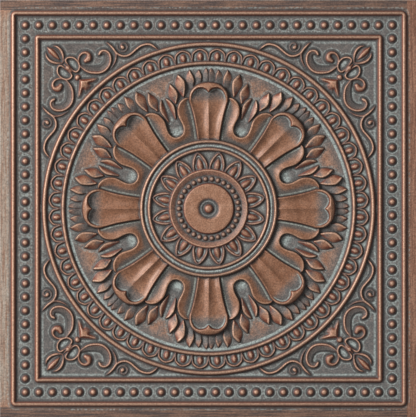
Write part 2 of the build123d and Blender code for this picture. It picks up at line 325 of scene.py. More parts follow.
def sepal_forms(part):
    """The sepal between two petals, which frames a pale eye, on one side of the petal's axis."""
    edge = spline([(17.5, 110.2), (20.5, 110.6), (24.2, 109.9), (27.8, 107.2), (30.2, 103.2), (31.2, 98.5),
                   (30.9, 94.2), (29.5, 90.2), (27.4, 86.4), (25.7, 82.6), (24.9, 78.8), (25.6, 75.2),
                   (27.6, 72.6), (30.2, 71.4), (34.2, 71.2)])
    outline = np.vstack([edge, [(34.2, 60.0), (6.0, 60.0), (8.0, 100.0)], edge[:1]])
    near, x, y = part.window(np.array([(4.0, 60.0), (36.0, 112.0)]), 3.0)
    depth = depth_inside(x, y, outline, edge)
    radius = np.hypot(x, y)
    outside_medallion = radius > petal_start

    # It falls from its edge to the crease beside the petal and the medallion
    petal_edge = np.interp(y, [64, 70, 80, 92, 103, 108, 112], [10.3, 11.0, 12.5, 14.8, 17.8, 19.4, 19.2])
    from_crease = np.minimum(np.maximum(x - petal_edge, 0.0), np.maximum(radius - 68.5, 0.0))
    share = from_crease / np.maximum(from_crease + np.maximum(depth, 0.0), 1e-6)
    round_off = 1.0 - 0.12 * (1.0 - smooth(0.0, 1.6, depth))
    top = sepal_crease + (sepal_crest - sepal_crease) * share ** 2 * round_off
    part.height[near] = between(part.height[near], top, smooth(-0.7, 0.5, depth))

    finish = np.maximum(smooth(0.2, 0.85, share), 0.08)
    part.polish[near] = np.where(depth > -0.3, finish, part.polish[near])
    part.petals[near] = smooth(-0.3, 0.3, depth)
    part.stain_and_painted_shade[near] *= smooth(0.3, -0.3, depth)
    part.darken(0.95 * band(-1.6, -0.9, -0.3, 0.2, depth) * outside_medallion, near)
    part.bloom[near] = np.where(depth > -0.2, 0.0, part.bloom[near])
    eye = smooth(-1.2, -2.0, depth) * smooth(93, 80, radius) * outside_medallion
    part.whiten(0.85 * eye, near)


# Each leaf: its crest in millimetres, its polish, and points of its spine with the half width there
leaves = (
    (3.4, 0.35, [(3.0, 126.5, 2.2), (3.1, 133.0, 2.8), (2.9, 137.0, 2.0), (2.7, 139.8, 0.3)]),
    (3.9, 0.55, [(10.4, 125.5, 2.6), (10.4, 131.5, 3.4), (10.3, 135.2, 2.3), (9.9, 138.0, 0.3)]),
    (5.2, 0.75, [(17.6, 121.5, 2.4), (18.7, 128.0, 4.2), (19.4, 133.6, 3.0), (19.2, 137.9, 0.3)]),
    (7.2, 1.0, [(25.4, 111.8, 0.5), (27.0, 118.0, 3.7), (28.9, 125.5, 5.1), (30.2, 130.5, 2.8),
                (31.0, 133.2, 0.3)]),
    (7.0, 1.0, [(33.6, 106.2, 1.4), (35.3, 112.5, 4.7), (37.2, 118.5, 3.7), (38.9, 124.0, 0.3)]),
    (5.4, 1.0, [(33.2, 89.8, 0.4), (34.9, 95.5, 2.0), (37.2, 102.0, 2.7), (40.2, 106.6, 1.9),
                (42.8, 109.4, 0.4)]),
)


def leaf_forms(part):
    """Leaves round the petal's tip. Each is a blade that stands up along its edge towards the petal."""
    for crest, polish, points in leaves:
        line = spline(points)
        near, x, y = part.window(line, line[:, 2].max() + 2.5)
        gap, width, side, place = nearest(x, y, line)
        share = np.clip(gap / np.maximum(width, 0.05), 0.0, 1.0)
        tilt = np.where(side > 0, 0.5 + 0.5 * share, 0.5 - 0.5 * share)
        crown = 0.12 * (1.0 - share ** 2)
        taper = 0.55 + 0.45 * smooth(0.0, 0.45, place)
        blade = leaf_low + (crest - leaf_low) * (tilt + crown) * taper
        edge = gap - width
        cover = 1.0 - smooth(-0.2, 0.5, edge)
        part.stain_and_painted_shade[near] *= 1.0 - cover
        part.bloom[near] *= 1.0 - cover
        part.darken(0.85 * band(-0.7, -0.1, 0.3, 0.9, edge) * smooth(0.0, 0.25, place), near)
        part.whiten(0.6 * band(0.7, 1.1, 1.5, 2.2, edge) * smooth(0.1, 0.4, place), near)
        part.lift(between(part.height[near], blade, cover), near)
        part.rub(polish * smooth(0.05, 0.6, place) * cover, near)


def egg_forms(part):
    """One egg with its collar and its arch, drawn round the middle of the egg."""
    part.ridge([(0.0, -2.0, 2.9), (0.0, 0.0, 3.7), (0.0, 1.5, 3.2)], egg_crest, polish=0.7, roundness=1.1)
    part.ridge(arch_of([(-4.9, -4.6, 0.7), (-4.9, -1.0, 0.8), (-4.1, 2.6, 0.8), (0.0, 4.7, 0.8)]), 1.5)
    arch = arch_of([(-8.2, -5.0, 0.9), (-7.8, -1.0, 1.1), (-6.4, 4.0, 1.25), (0.0, 7.3, 1.3)])
    part.ridge(arch, arch_crest, polish=0.32, roundness=1.1, outline=0.5)

    # Verdigris round the egg and in the corners between the arches, dirt under the arch
    line = spline(arch)
    from_arch = distance(part.x, part.y, line)
    under_arch = inside(part.x, part.y, loop_of(line))
    ground = smooth(4.0, 4.7, np.hypot(part.x, part.y * 0.8)) * smooth(1.0, 1.8, from_arch) * under_arch
    corners = smooth(1.2, 2.0, from_arch) * (~under_arch) * (part.y > -2.0)
    part.whiten(0.75 * ground)
    part.whiten(corners)
    part.darken(0.25 * smooth(1.1, 0.5, from_arch))


def medallion_forms(part):
    """One of the pointed petals round the boss, drawn with the petal on the axis."""
    arch = arch_of([(-6.6, 39.5, 1.3), (-6.7, 44.0, 1.5), (-5.4, 49.0, 1.5), (-3.0, 53.6, 1.4),
                    (0.0, 56.2, 1.4)])
    part.ridge(arch, 6.6, polish=0.26, outline=0.6)
    collar = arch_of([(-4.4, 39.5, 0.7), (-4.5, 44.5, 0.8), (-3.5, 49.5, 0.8), (0.0, 53.3, 0.9)])
    part.ridge(collar, 4.8)
    seed = [(0.0, 38.8, 2.6), (0.0, 41.5, 3.4), (0.0, 44.6, 3.6), (0.0, 48.0, 2.6), (0.0, 51.0, 0.8)]
    part.ridge(seed, 7.0, polish=0.8, roundness=0.9)
    line = spline(arch)
    from_arch = distance(part.x, part.y, line)
    from_collar = distance(part.x, part.y, spline(collar))
    under_arch = inside(part.x, part.y, loop_of(line))
    part.whiten(0.8 * smooth(1.2, 0.5, from_collar) * under_arch)
    part.whiten(0.35 * smooth(2.0, 2.8, from_arch) * (~under_arch))
    part.darken(0.3 * smooth(1.2, 0.6, from_arch))


def turned_level(radius):
    """Height of the round boss, from its button to the bed of the medallion."""
    places = [0.0, 1.6, 3.2, 4.2, 4.9, 6.2, 7.0, 7.8, 8.6, 11.0, 12.2, 24.0, 24.9, 25.7,
              33.2, 33.9, 35.6, 37.2, 38.2, 39.0, 39.8, boss_edge]
    levels = [8.8, 8.6, 7.6, 6.2, boss_trough, boss_trough, 5.3, 5.3, 4.7, 7.1, 7.6, 7.8, 7.2, boss_trough,
              boss_trough, 5.0, 6.2, 7.2, 8.2, 7.4, 5.2, medallion_bed]
    return np.interp(radius, places, levels)


def turned_polish(radius):
    """Polish of the round boss, bright on its button, dome and outer roll and bare in its grooves."""
    places = [0.0, 3.4, 4.6, 9.0, 10.2, 11.4, 24.4, 25.2, 33.0, 35.2, 37.2, 39.0, 40.0]
    levels = [1.0, 0.9, 0.0, 0.0, 0.4, 1.0, 1.0, 0.0, 0.3, 0.5, 0.65, 0.7, 0.0]
    return np.interp(radius, places, levels)


def scroll_forms(part):
    """The big scroll of a corner: a hollowed ribbon with a bead along its outer edge."""
    outer = [(66.6, 52.8, 0.9), (70.6, 56.4, 1.1), (75.6, 59.4, 1.3), (82.2, 60.6, 1.4), (88.6, 60.0, 1.4),
             (93.6, 57.2, 1.4), (97.0, 52.6, 1.4), (98.3, 47.4, 1.4), (97.4, 42.2, 1.4), (94.6, 38.9, 1.3),
             (90.8, 38.0, 1.3), (87.9, 39.6, 1.5), (86.8, 42.0, 1.4)]
    inner = spline([(90.3, 41.8), (92.6, 42.6), (92.6, 46.4), (90.9, 50.4), (87.4, 53.2), (82.2, 54.2),
                    (76.2, 53.9), (70.4, 52.8)])
    outer_edge = spline(outer)[:, :2]
    ribbon = loop_of(np.vstack([outer_edge, inner]))
    near, x, y = part.window(ribbon, 3.2)
    depth = depth_inside(x, y, ribbon, ribbon)
    from_outer = distance(x, y, outer_edge)
    from_inner = distance(x, y, inner)
    level = 1.2 + 1.2 * smooth(6.0, 1.0, from_outer) + 0.7 * smooth(1.3, 0.2, from_inner)
    part.lift(between(part.height[near], level, smooth(-0.4, 0.5, depth)), near)
    part.rub(0.3 * smooth(-0.2, 0.6, depth), near)
    part.bloom[near] *= smooth(0.3, -0.5, depth)
    part.whiten(0.6 * band(-3.0, -2.3, -1.7, -1.1, depth) * smooth(4.0, 3.0, from_inner), near)
    part.darken(0.9 * smooth(1.6, 0.8, from_inner) * smooth(-1.6, -0.8, depth), near)
    part.darken(0.6 * smooth(0.2, 1.4, depth) * smooth(1.2, 2.2, from_outer), near)
    part.ridge(outer, scroll_crest, polish=0.45, outline=0.95)


def bell_flower_forms(part):
    """The bell flower on a corner's diagonal, below the ball, with its two long arms."""
    half = spline([(66.2, 66.2), (70.4, 66.3), (76.2, 66.0), (84.4, 65.0), (84.2, 68.2), (79.6, 70.0),
                   (77.6, 71.4), (80.4, 73.4), (77.9, 74.9), (77.6, 77.6)])
    outline = np.vstack([half, half[::-1][:, ::-1]])
    near, x, y = part.window(outline, 3.6)
    depth = depth_inside(x, y, outline, outline)
    along = (x + y) / 2.0
    crown = 1.2 + 4.4 * smooth(0.0, 3.2, depth) * (1.0 - 0.6 * smooth(70.0, 77.0, along))
    part.lift(between(part.height[near], crown, smooth(-0.4, 0.5, depth)), near)
    part.rub(smooth(-0.3, 0.8, depth) * (1.0 - 0.8 * smooth(72.0, 76.0, along)), near)
    part.darken(0.85 * band(-1.7, -1.0, -0.3, 0.3, depth), near)
    part.whiten(0.6 * band(-3.4, -2.6, -1.9, -1.3, depth), near)


def corner_forms(part):
    """The ornament of a corner, mirrored about the corner's diagonal, so drawn once with x over y."""
    # Spindle of the bud and its side strokes
    spindle = [(35.0, 35.0, 0.7), (38.4, 38.4, 2.8), (42.8, 42.8, 2.9), (46.8, 46.8, 0.8)]
    part.ridge(spindle, 4.6, polish=1.0, outline=0.9)
    part.ridge([
        (40.6, 33.4, 0.5), (44.6, 34.4, 1.3), (48.2, 37.6, 1.7), (50.3, 42.2, 1.7), (50.9, 46.8, 1.3),
        (50.6, 50.0, 0.9)
    ], 3.8, polish=0.42, outline=0.95)
    part.ridge([(38.0, 35.4, 0.5), (42.6, 37.6, 0.9), (46.4, 41.6, 1.0), (48.6, 46.0, 0.8)], 2.0)

    # Loop of the bow with verdigris in its eye, the link on the diagonal and the balls at its ends
    part.ridge([
        (54.3, 50.6, 1.2), (53.2, 48.2, 1.4), (54.4, 45.9, 1.3), (58.2, 44.9, 1.2), (62.2, 46.0, 1.2),
        (65.2, 49.0, 1.2), (66.9, 53.0, 1.2), (66.4, 57.0, 1.3), (63.8, 59.4, 1.3), (60.8, 58.2, 1.1),
        (58.2, 55.4, 1.0), (56.0, 52.8, 1.0)
    ], 3.9, closed=True, polish=0.45, outline=0.95)
    from_eye = np.hypot(part.x - 60.6, part.y - 51.4)
    part.whiten(0.6 * smooth(4.4, 3.0, from_eye))
    link = [(52.0, 52.0, 0.8), (54.6, 54.6, 1.5), (57.4, 57.4, 1.6), (59.4, 59.4, 0.8)]
    part.ridge(link, scroll_crest, polish=0.9, outline=0.9)
    part.dome(55.4, 55.4, 2.3, 5.0, 1.0)
    part.dome(65.1, 65.1, 3.1, 4.8, 0.8)

    # Volute beside the bow
    part.ridge([
        (67.6, 52.6, 0.8), (66.2, 48.8, 1.2), (66.6, 44.6, 1.3), (69.2, 41.2, 1.5), (73.0, 40.2, 1.9),
        (76.2, 42.4, 2.7), (76.0, 46.2, 3.6), (73.2, 48.2, 2.6)
    ], 4.6, polish=0.8, outline=0.9)
    scroll_forms(part)
    bell_flower_forms(part)

    # Leaf stroke, tendril and small spiral towards the middle of the side
    part.ridge([
        (93.8, 29.8, 0.5), (97.6, 32.8, 1.2), (101.4, 37.0, 1.3), (103.6, 42.0, 1.3), (103.2, 47.0, 1.1),
        (101.4, 51.6, 0.9), (98.2, 56.4, 0.5)
    ], 3.0, polish=0.35, outline=0.9)
    part.ridge([
        (96.0, 31.4, 0.7), (100.2, 35.8, 1.3), (104.2, 40.6, 1.4), (108.6, 43.2, 1.5), (113.6, 43.6, 1.5),
        (118.4, 41.4, 1.5), (123.0, 37.4, 1.5), (127.6, 33.9, 1.5), (132.8, 32.0, 1.5), (137.4, 32.0, 1.5),
        (141.6, 34.2, 1.3), (145.6, 37.6, 0.7)
    ], 3.8, polish=0.45, outline=0.95)
    part.ridge([
        (104.8, 32.4, 0.7), (105.2, 35.6, 0.9), (107.6, 38.4, 1.0), (111.2, 39.0, 1.0), (114.2, 37.0, 1.0),
        (114.8, 33.6, 1.0), (112.6, 31.0, 1.0), (109.6, 31.2, 1.2), (108.8, 33.6, 1.6), (110.6, 35.4, 1.9)
    ], 2.8, polish=0.3, outline=0.9)
    part.dome(110.1, 34.9, 2.4, 4.0, 0.8)


def from_middle(angle, count, offset=0.0):
    """Angle from the middle line of the form in which a point lies, of so many that stand in a ring.

    With no offset two forms meet on the upright middle line, and with 0.5 one of them stands on it.
    """
    form_angle = 2 * np.pi / count
    return (angle + offset * form_angle) % form_angle - form_angle / 2


def stood_up(radius, angle, row=0.0):
    """Places in a frame whose y axis runs outwards along a form's middle line, from the given row."""
    return radius * np.sin(angle), radius * np.cos(angle) - row


def border_forms(tile):
    """Pearls and square beads of the border, and the verdigris along the panel's edge."""
    pearl_pitch = 2 * pearl_row / pearl_gaps_per_side
    for across, along in ((tile.x, tile.y), (tile.y, tile.x)):
        pearl = pearl_pitch * (np.floor(along / pearl_pitch) + 0.5)
        gap = np.hypot(across - pearl_row, along - np.minimum(pearl, pearl_row))
        near = np.flatnonzero(gap < pearl_radius)
        section = (1.0 - (gap[near] / pearl_radius) ** 2) ** 1.3
        tile.lift(between(wall, pearl_crest, section), near)
        tile.rub(smooth(3.0, 1.1, gap[near]), near)
        tile.darken(0.4 * band(1.9, 2.7, 4.9, 5.6, gap))
        tile.darken(0.95 * band(3.0, 3.9, 4.9, 5.6, gap))
        tile.whiten(0.75 * band(5.0, 5.5, 5.9, 6.6, gap))

    longer = np.maximum(tile.x, tile.y)
    shorter = np.minimum(tile.x, tile.y)
    # Outer and inner square beads, with painted shade on those that run from left to right
    for line, corner_radius in ((outer_square_bead, 3.0), (inner_square_bead, 1.2)):
        turn_start = line - corner_radius
        from_turn = np.hypot(np.maximum(tile.x - turn_start, 0.0), np.maximum(tile.y - turn_start, 0.0))
        gap = np.where(shorter > turn_start, from_turn - corner_radius, longer - line)
        tile.bead(gap, square_bead_half_width, wall, square_bead_crest, 1.1, 1.0,
                  smooth(0.0, 2.0, tile.y - tile.x))
    tile.whiten(0.5 * band(164.0, 165.0, 166.6, 167.6, longer))
    tile.whiten(0.6 * smooth(158.0, 164.0, shorter) * smooth(167.6, 166.4, longer))


def boss_forms(tile, radius, angle):
    """The turned boss in the middle, with its ring of beads."""
    spot = np.flatnonzero(radius < boss_edge)
    edge_petals = np.where(radius[spot] > 38.8, tile.height[spot], 0.0)
    tile.height[spot] = np.maximum(turned_level(radius[spot]), edge_petals)
    tile.polish[spot] = turned_polish(radius[spot])
    tile.stain_and_painted_shade[spot] = 0.0
    tile.bloom[spot] = 0.0

    gap = np.hypot(*stood_up(radius, from_middle(angle, boss_bead_count), boss_bead_row))
    near = np.flatnonzero(gap < boss_bead_radius)
    section = (1 - (gap[near] / boss_bead_radius) ** 2) ** 0.65
    tile.lift(boss_trough + boss_bead_rise * section, near)
    tile.rub(0.4 * smooth(1.8, 0.5, gap[near]), near)

    # Dirt and verdigris between the beads, then in the two grooves round the button
    trough = band(24.9, 25.6, 32.8, 33.6, radius)
    from_trough = np.abs(radius - boss_trough_middle)
    tile.darken(trough * (0.35 + 0.55 * smooth(1.4, 2.0, gap)) * smooth(3.0, 2.2, gap))
    tile.darken(0.8 * trough * smooth(2.8, 3.3, from_trough))
    tile.whiten(0.5 * trough * smooth(2.0, 2.7, gap) * smooth(3.4, 2.8, from_trough))
    tile.darken(band(3.8, 4.8, 6.0, 6.8, radius))
    tile.darken(0.8 * band(7.9, 8.6, 9.2, 10.8, radius))
    tile.whiten(0.45 * band(6.6, 7.1, 7.8, 8.3, radius))


def ring_forms(tile, radius):
    """The four round beads, the pale ring at the tips of the leaves and the groove of the medallion."""
    # Painted shade on the parts of the beads that run from left to right
    painted_shade_share = (tile.y / np.maximum(radius, 1e-9)) ** 2
    for line, half_width, floor, crest in ((outer_ring, 2.6, wall, ring_bead_crest),
                                           (inner_ring, 2.3, wall, ring_bead_crest - 0.4),
                                           (medallion_ring, 2.2, medallion_bed - 1.0, 8.8),
                                           (collar_ring, 2.1, medallion_bed, 8.6)):
        tile.bead(radius - line, half_width, floor, crest, 1.0, 0.95, painted_shade_share)
    tile.whiten(smooth(1.8, 0.7, np.abs(radius - leaf_tip_ring)))
    groove = np.flatnonzero((radius > collar_ring) & (radius < medallion_ring))
    thread = np.clip(1.0 - ((radius[groove] - medallion_groove) / 1.4) ** 2, 0.0, 1.0)
    tile.lift(5.0 + 0.9 * thread, groove)
    tile.whiten(0.75 * smooth(1.1, 0.4, np.abs(radius - medallion_groove)))


def tile_relief(x, y):
    """The tile's face at points of one quarter of it, given by their places in millimetres."""
    tile = Relief(x / step, y / step, np.full(x.shape, wall), np.full(x.shape, field_polish),
                  np.zeros(x.shape), np.zeros(x.shape), np.zeros(x.shape))
    radius = np.hypot(tile.x, tile.y)
    angle = np.arctan2(tile.x, tile.y)
    longer = np.maximum(tile.x, tile.y)
    tile.polish[longer > flange_line] = flange_polish
    border_forms(tile)

    # Corner ornament, measured inwards from the outer bead
    inward_x = corner_origin - np.minimum(tile.x, tile.y)
    inward_y = corner_origin - longer
    tile.press((inward_y > 26.0) & (radius > 165.5), inward_x, inward_y, corner_forms)

    # Rosette: half of each petal's sector, mirrored about its axis, with bright tufts between the petals
    sector = np.abs(from_middle(angle, petal_count, 0.5))
    rosette = (radius > 60.0) & (radius < 143.0)
    from_tuft = (sector - np.pi / petal_count) * tuft_ring
    tuft = 0.75 * np.exp(-((radius - tuft_ring) / 8.0) ** 2 - (from_tuft / 12.0) ** 2)
    tile.polish += tuft * rosette
    tile.press(rosette, *stood_up(radius, sector), leaf_forms, sepal_forms, petal_forms)

    # Egg band, then the medallion on its raised bed
    egg_places = stood_up(radius, from_middle(angle, egg_count), egg_row)
    tile.press((radius > 143.5) & (radius < 163.5), *egg_places, egg_forms)
    tile.height[radius < medallion_edge] = medallion_bed
    sector = np.abs(from_middle(angle, medallion_petal_count))
    tile.press(radius < medallion_floor_edge, *stood_up(radius, sector), medallion_forms)
    boss_forms(tile, radius, angle)
    ring_forms(tile, radius)
    return tile


# Fineness of the meshes: grid cells along a quarter, its softening in millimetres and triangles kept
cells = 500
softness = 0.45
front_triangles = 43500
back_triangles = 5000
half_side = tile_side / 2.0
pitch = half_side / cells


def grid_places():
    """The places of all grid points of one quarter of the tile, along x and along y."""
    line = np.linspace(0.0, half_side, cells + 1)
    return np.meshgrid(line, line)


def blur(values, radius):
    """A soft copy of a map of one quarter of the tile, which is mirrored at its two inner edges."""
    reach = int(np.ceil(3.0 * radius / pitch))
    kernel = np.exp(-0.5 * (np.arange(-reach, reach + 1) * pitch / radius) ** 2)
    kernel /= kernel.sum()
    # One pass for each direction, as each ends by swapping rows and columns
    for turn in range(2):
        wide = np.pad(values, ((reach, 0), (0, 0)), mode="reflect")
        wide = np.pad(wide, ((0, reach), (0, 0)), mode="edge")
        values = sum(share * wide[start:start + len(values)] for start, share in enumerate(kernel)).T
    return values


def tilts(height):
    """Rise of a map along x and along y. Both are level where the tile is mirrored."""
    along_y, along_x = np.gradient(height, pitch)
    along_x[:, 0] = 0.0
    along_y[0, :] = 0.0
    return along_x, along_y


def sample(values, x, y):
    """Values of a map at points that lie between its grid points."""
    column = np.clip(x / pitch, 0, cells - 1e-6)
    row = np.clip(y / pitch, 0, cells - 1e-6)
    left = column.astype(int)
    low = row.astype(int)
    right_share = column - left
    high_share = row - low
    lower = between(values[low, left], values[low, left + 1], right_share)
    upper = between(values[low + 1, left], values[low + 1, left + 1], right_share)
    return between(lower, upper, high_share)


def add_object(name, data):
    """Adds an object to the scene."""
    added = bpy.data.objects.new(name, data)
    bpy.context.scene.collection.objects.link(added)
    return added


def new_mesh(name, points, faces):
    """A mesh from an array of points and an array of faces that all have as many corners."""
    mesh = bpy.data.meshes.new(name)
    corners = faces.shape[1]
    mesh.vertices.add(len(points))
    mesh.vertices.foreach_set("co", points.astype(np.float32).ravel())
    mesh.loops.add(faces.size)
    mesh.loops.foreach_set("vertex_index", faces.astype(np.int32).ravel())
    mesh.polygons.add(len(faces))
    mesh.polygons.foreach_set("loop_start", np.arange(0, faces.size, corners, dtype=np.int32))
    mesh.update(calc_edges=True)
    return mesh


def thinned_quarter(height, triangles):
    """Places and triangles of a light mesh that follows a height map of one quarter of the tile."""
    x, y = grid_places()
    points = np.stack([x.ravel(), y.ravel(), height.ravel()], axis=1)
    corner = (np.arange(cells)[:, None] * (cells + 1) + np.arange(cells)).ravel()
    quads = np.stack([corner, corner + 1, corner + cells + 2, corner + cells + 1], axis=1)
    grid = add_object("grid", new_mesh("grid", points, quads))
    thin = grid.modifiers.new("thin", "DECIMATE")
    thin.ratio = triangles / (2.0 * cells * cells)
    thin.use_collapse_triangulate = True
    evaluated = grid.evaluated_get(bpy.context.evaluated_depsgraph_get())
    mesh = bpy.data.meshes.new_from_object(evaluated)
    mesh.calc_loop_triangles()
    places = np.empty(len(mesh.vertices) * 3, np.float32)
    mesh.vertices.foreach_get("co", places)
    faces = np.empty(len(mesh.loop_triangles) * 3, np.int32)
    mesh.loop_triangles.foreach_get("vertices", faces)
    bpy.data.objects.remove(grid)
    bpy.data.meshes.remove(mesh)

    # Points that slid a little off the quarter's edges go back onto them
    places = places.reshape(-1, 3)[:, :2].astype(float)
    snap = 0.3 * pitch
    places[places < snap] = 0.0
    places[places > half_side - snap] = half_side
    return places, faces.reshape(-1, 3)


def mirrored_four_times(places, faces):
    """The whole tile from one quarter, with the quarters joined along the middle lines."""
    all_places = []
    all_faces = []
    for sign_x in (1, -1):
        for sign_y in (1, -1):
            turned_faces = faces if sign_x == sign_y else faces[:, ::-1]
            all_faces.append(turned_faces + len(places) * len(all_places))
            all_places.append(places * (sign_x, sign_y))
    all_places = np.vstack(all_places)
    keys = np.round(all_places * 1000.0).astype(np.int64)
    keys = keys[:, 0] * 10 ** 7 + keys[:, 1]
    first, owner = np.unique(keys, return_index=True, return_inverse=True)[1:]
    joined = owner[np.vstack(all_faces)]

    # Triangles that the joining closed up, or that two quarters both have, are left out
    joined = joined[(joined != np.roll(joined, 1, axis=1)).all(axis=1)]
    kind, times = np.unique(np.sort(joined, axis=1), axis=0, return_inverse=True, return_counts=True)[1:]
    return all_places[first], joined[times[kind.ravel()] == 1]


def rim_order(places):
    """Numbers of the points on the tile's edge, in order round it to the first again, and their angles."""
    on_rim = np.flatnonzero(np.abs(places).max(axis=1) > half_side - 1e-6)
    x, y = places[on_rim].T
    angle = np.arctan2(y, x)
    order = np.argsort(angle)
    order = np.append(order, order[0])
    angle = angle[order]
    angle[-1] += 2 * np.pi
    return on_rim[order], angle


def rim_strip(front, back, offset):
    """Triangles that close the sheet's edge between its face and its back."""
    upper, upper_angle = rim_order(front)
    lower, lower_angle = rim_order(back)
    lower = lower + offset
    high_end = len(upper) - 1
    low_end = len(lower) - 1
    strip = []
    high = 0
    low = 0
    while high < high_end or low < low_end:
        if low == low_end or (high < high_end and upper_angle[high + 1] <= lower_angle[low + 1]):
            strip.append((upper[high], lower[low], upper[high + 1]))
            high += 1
        else:
            strip.append((upper[high], lower[low], lower[low + 1]))
            low += 1
    return np.array(strip)


def rim_normals(rim_points):
    """The level direction in which each triangle of the sheet's edge faces."""
    x, y = rim_points.mean(axis=1)[:, :2].T
    on_side = np.abs(x) > np.abs(y)
    return np.column_stack([np.sign(x) * on_side, np.sign(y) * ~on_side, np.zeros(len(x))])


def finish_maps(tile, shape):
    """Soft maps of one quarter: the face's height, its slope, and all that the material reads."""
    bare_height = tile.height.reshape(shape)
    radius = np.hypot(tile.x, tile.y).reshape(shape)
    floor = np.where(radius < medallion_floor_edge, medallion_bed, wall)
    raised = smooth(0.25, 0.8, bare_height - floor)
    moat = blur(raised, 2.0) * (1.0 - raised)
    height = blur(bare_height, softness)
    slope = np.hypot(*tilts(height))
    broad = smooth(3.0, 4.5, blur(height, 6.0)) * (radius > 72.0)
    maps = {
        "petals": blur(tile.petals.reshape(shape), 0.5) * (radius > petal_start),
        "polish": blur(tile.polish.reshape(shape), 0.5),
        "stain_and_painted_shade": blur(tile.stain_and_painted_shade.reshape(shape), 0.5),
        "bloom": blur(tile.bloom.reshape(shape), 0.4),
        "foot": blur(smooth(0.05, 0.2, moat), 0.4),
        "fringe": blur(band(0.002, 0.012, 0.03, 0.07, moat), 0.4),
        "slope": slope * (1.0 - 0.7 * broad),
        "crest": np.maximum(height - blur(height, 2.4), 0.0) * (1.0 - 0.6 * broad),
        "crevice": np.maximum(blur(height, 1.3) - height, 0.0) * (1.0 - 0.75 * broad),
    }
    return height, slope, maps


def sheet_mesh():
    """The embossed sheet: its face, its hollow back and the thin edge between them."""
    x, y = grid_places()
    height, slope, maps = finish_maps(tile_relief(x.ravel(), y.ravel()), x.shape)
    back_height = np.maximum(blur(height, 1.0) - wall * np.sqrt(1.0 + slope ** 2), 0.0)
    back_height = np.minimum(blur(back_height, 0.8), height - 0.5 * wall)

    # The face keeps more triangles where its finish changes, so the thinning sees that as height too
    followed = height + 0.8 * (maps["crest"] - maps["crevice"]) + 0.3 * (maps["bloom"] - maps["stain_and_painted_shade"])
    followed += 0.15 * (maps["fringe"] - maps["foot"])
    front, front_faces = mirrored_four_times(*thinned_quarter(followed, front_triangles))
    back, back_faces = mirrored_four_times(*thinned_quarter(back_height, back_triangles))

    points = []
    normals = []
    for places, level, facing in ((front, height, 1.0), (back, back_height, -1.0)):
        x, y = np.abs(places).T
        points.append(np.column_stack([places, sample(level, x, y)]))
        tilt = np.column_stack([sample(rise, x, y) for rise in tilts(level)]) * np.sign(places)
        normal = np.column_stack([-tilt, np.ones(len(places))])
        normals.append(facing * normal / np.linalg.norm(normal, axis=1, keepdims=True))
    points = np.vstack(points)
    normals = np.vstack(normals)
    rim = rim_strip(front, back, len(front))
    faces = np.vstack([front_faces, back_faces[:, ::-1] + len(front), rim])

    mesh = new_mesh("ceiling_tile_sheet", points / 1000.0, faces)
    corner_normals = normals[faces]
    corner_normals[-len(rim):] = rim_normals(points[rim])[:, None, :]
    mesh.polygons.foreach_set("use_smooth", np.ones(len(faces), bool))
    mesh.normals_split_custom_set(corner_normals.reshape(-1, 3).tolist())

    x, y = np.abs(points[:, :2]).T
    finish = {name: sample(values, x, y) for name, values in maps.items()}
    finish["back"] = np.arange(len(points)) >= len(front)
    for name, values in finish.items():
        attribute = mesh.attributes.new(name, "FLOAT", "POINT")
        attribute.data.foreach_set("value", values.astype(np.float32))
    return mesh


def linear(red, green, blue):
    """A colour as the shader takes it, from the three values of 0 to 255 that a screen shows."""
    shares = np.array([red, green, blue]) / 255.0
    shares = np.where(shares < 0.04045, shares / 12.92, ((shares + 0.055) / 1.055) ** 2.4)
    return tuple(shares) + (1.0,)


# Colours of the finish. Each pair is the darker and the paler colour of a mottled paint
field_paint = linear(86, 81, 78), linear(108, 101, 97)
field_warm_cloud = linear(112, 96, 87)
field_pale_side = linear(124, 126, 125)
copper_paint = linear(168, 119, 91), linear(192, 144, 116)
copper_cloud = linear(170, 122, 94)
# The flange's paler left side is partly painted light and its darker red right side partly painted shade,
# as from the light on the left
left_flange_streaks_and_painted_light = linear(162, 127, 105), linear(185, 168, 152)
right_flange_streaks_and_painted_shade = linear(138, 94, 73), linear(172, 126, 102)
end_flange_paint = linear(90, 74, 69), linear(142, 108, 89)
pale_verdigris = linear(180, 191, 186)
rusty_flank = linear(126, 60, 38)
# Copper rubbed bright on the crests, lightened further into a painted highlight
crest_rub_and_painted_highlight = linear(220, 174, 145)
dark_crevice = linear(78, 76, 74)
# Dark stain, which also gives the painted shade on beads that run from left to right
dark_stain_and_painted_shade = linear(67, 65, 63)
bare_back = linear(134, 126, 120)
plain_speckle = linear(180, 180, 180), linear(255, 255, 255)
petal_speckle = linear(160, 154, 149), linear(227, 220, 213)

# Places on the finished tile in metres: the flange, and a pale line inside the right-hand outer bead
flange_edge = 0.2862
flange_fade = 0.001
left_flange_end = 0.2662, 0.2922
pale_line_left = 0.2740, 0.2762
pale_line_right = 0.2782, 0.2802
pale_line_ends = 0.276, 0.282


